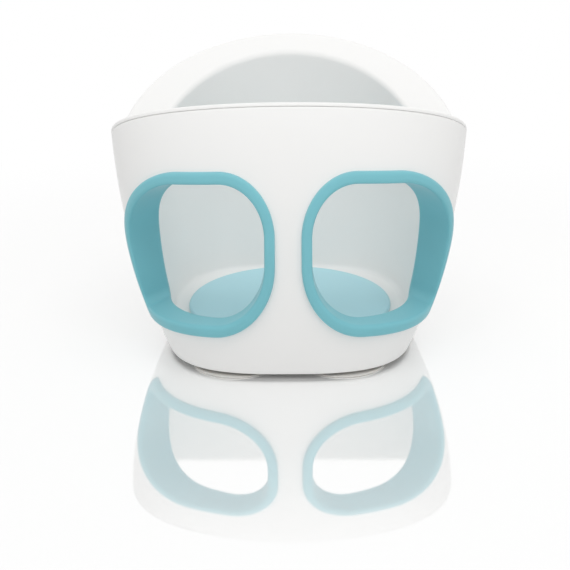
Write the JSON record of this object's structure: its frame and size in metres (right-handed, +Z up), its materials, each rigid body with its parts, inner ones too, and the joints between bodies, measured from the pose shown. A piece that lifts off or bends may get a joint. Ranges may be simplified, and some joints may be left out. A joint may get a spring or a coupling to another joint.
{
  "type": "baby bath seat",
  "caption": "Double walled baby bath seat with a high back, two padded leg openings, a soft seat pad and suction cups under the base.",
  "frame": {"origin": "on the floor under the middle of the seat's overall width and length", "axes": "+Z up, front of the seat faces -Y, +X towards the right of someone looking at the front"},
  "size_m": [0.3498, 0.3291, 0.2661],
  "materials": {
    "white_shell": "smooth satin white moulding",
    "white_liner": "smooth satin white moulding",
    "aqua_trim": "soft moulded elastomer, satin aqua",
    "pale_aqua_pad": "soft moulded elastomer, satin pale aqua",
    "milky_rubber": "soft milky elastomer",
    "screw_steel": "plain stainless steel"
  },
  "bodies": {
    "tub": {"outer_shell": "white_shell", "inner_liner": "white_liner", "left_leg_trim": "aqua_trim", "right_leg_trim": "aqua_trim", "floor_screws": "screw_steel"},
    "seat_pad": {"seat_pad": "pale_aqua_pad"},
    "front_left_cup": {"front_left_cup": "milky_rubber"},
    "front_right_cup": {"front_right_cup": "milky_rubber"},
    "rear_left_cup": {"rear_left_cup": "milky_rubber"},
    "rear_right_cup": {"rear_right_cup": "milky_rubber"}
  },
  "joints": [
    {"name": "pad_lift", "type": "slide", "parent": "tub", "child": "seat_pad", "axis": [0, 0, 1], "range_m": [0, 0.012]},
    {"name": "front_left_swivel", "type": "hinge", "parent": "tub", "child": "front_left_cup", "pos_m": [-0.05, -0.12, 0.012], "axis": [0, 0, 1], "continuous": true},
    {"name": "front_right_swivel", "type": "hinge", "parent": "tub", "child": "front_right_cup", "pos_m": [0.05, -0.12, 0.012], "axis": [0, 0, 1], "continuous": true},
    {"name": "rear_left_swivel", "type": "hinge", "parent": "tub", "child": "rear_left_cup", "pos_m": [-0.05, 0.026, 0.012], "axis": [0, 0, 1], "continuous": true},
    {"name": "rear_right_swivel", "type": "hinge", "parent": "tub", "child": "rear_right_cup", "pos_m": [0.05, 0.026, 0.012], "axis": [0, 0, 1], "continuous": true}
  ]
}
